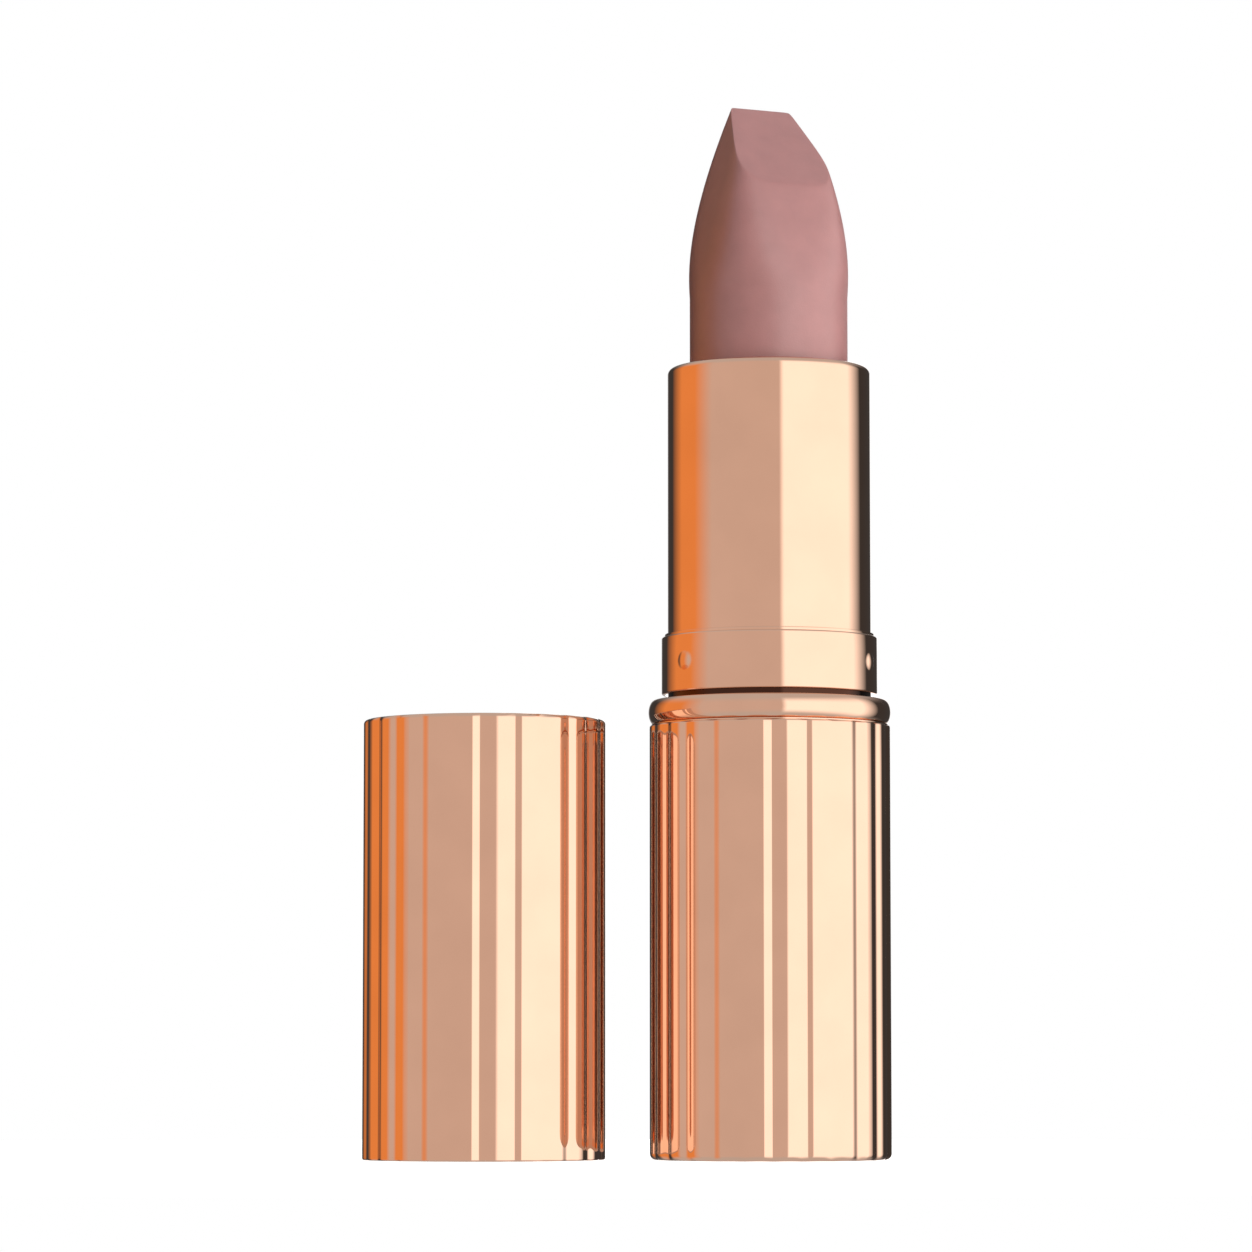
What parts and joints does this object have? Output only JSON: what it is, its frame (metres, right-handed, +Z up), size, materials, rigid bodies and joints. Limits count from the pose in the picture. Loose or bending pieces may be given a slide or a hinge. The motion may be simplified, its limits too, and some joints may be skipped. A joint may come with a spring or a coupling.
{
  "type": "lipstick case",
  "caption": "Swivel lipstick with a fluted metallic base, a polished tube, a slanted bullet that winds up and down, and a fluted push-fit cap standing beside it.",
  "frame": {"origin": "middle of the case's foot, on the swivel axis, where it rests on a surface", "axes": "+Z up along the swivel axis; +X to the right seen from the front; the front faces -Y; the cap stands on the same surface on the -X side"},
  "size_m": [0.0421, 0.0194, 0.0847],
  "materials": {
    "rose_gold_metal": "polished rose-gold plated metal, mirror-like",
    "shade_label": "blank satin paper label in the bullet's shade",
    "weight_steel": "plain turned steel",
    "liner_plastic": "smooth ivory moulded plastic",
    "gear_plastic": "smooth white moulded plastic",
    "brake_rubber": "soft dark rubber",
    "lipstick_wax": "satin mauve-pink moulded wax"
  },
  "bodies": {
    "base": {"base_shell": "rose_gold_metal", "foot_plate": "rose_gold_metal", "shade_label": "shade_label", "base_weight": "weight_steel", "base_liner": "liner_plastic", "bead_ring": "rose_gold_metal", "guide_tube": "gear_plastic", "brake_ring": "brake_rubber"},
    "swivel_tube": {"tube_shell": "rose_gold_metal", "snap_collar": "rose_gold_metal", "cam_sleeve": "gear_plastic"},
    "carrier": {"carrier_cup": "gear_plastic", "lipstick_bullet": "lipstick_wax"},
    "cap": {"cap_shell": "rose_gold_metal", "cap_liner": "liner_plastic"}
  },
  "joints": [
    {"name": "swivel", "type": "hinge", "parent": "base", "child": "swivel_tube", "pos_m": [0, 0, 0.037], "axis": [0, 0, 1], "range_deg": [0, 540]},
    {"name": "bullet_rise", "type": "slide", "parent": "base", "child": "carrier", "axis": [0, 0, 1], "range_m": [-0.0228, 0]},
    {"name": "cap_lift", "type": "slide", "parent": "base", "child": "cap", "axis": [0, 0, 1], "range_m": [0, 0.07]}
  ],
  "couplings": [
    {"joint": "bullet_rise", "follows": "swivel", "m_per_rad": -0.0024192}
  ]
}
